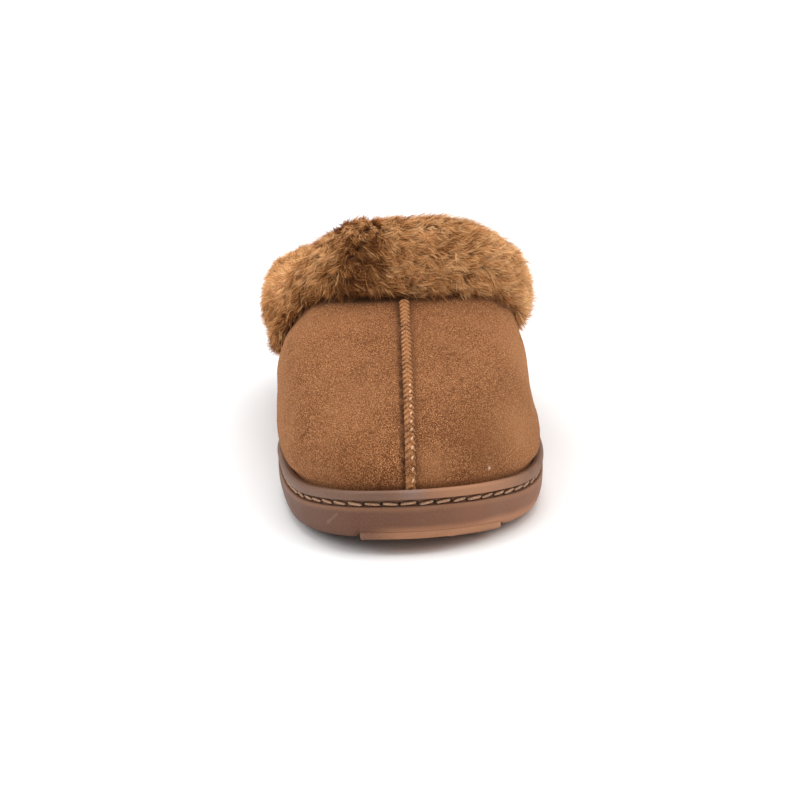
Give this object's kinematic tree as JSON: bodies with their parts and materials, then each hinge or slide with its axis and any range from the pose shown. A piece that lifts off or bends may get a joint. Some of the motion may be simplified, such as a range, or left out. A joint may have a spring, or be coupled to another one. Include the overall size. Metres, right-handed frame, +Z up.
{
  "type": "clog slipper",
  "caption": "Closed-toe clog slipper with a suede upper, a raised centre seam, a deep fur collar, a plush footbed and a stitched cup sole on gum treads.",
  "frame": {"origin": "on the floor, under the middle of the slipper's bounding box", "axes": "+Z up, -Y from heel to toe, -X to the big-toe side"},
  "size_m": [0.1112, 0.2672, 0.1066],
  "materials": {
    "moulded_sole": "satin",
    "gum_rubber": "satin",
    "footbed_plush": "matte",
    "suede": "matte",
    "seam_cord": "matte",
    "collar_fur": "matte"
  },
  "bodies": {
    "root": {"sole": "moulded_sole", "tread_toe": "gum_rubber", "tread_forefoot": "gum_rubber", "tread_heel": "gum_rubber", "insole": "footbed_plush", "upper": "suede", "center_seam": "seam_cord", "fur_collar": "collar_fur"}
  },
  "joints": []
}
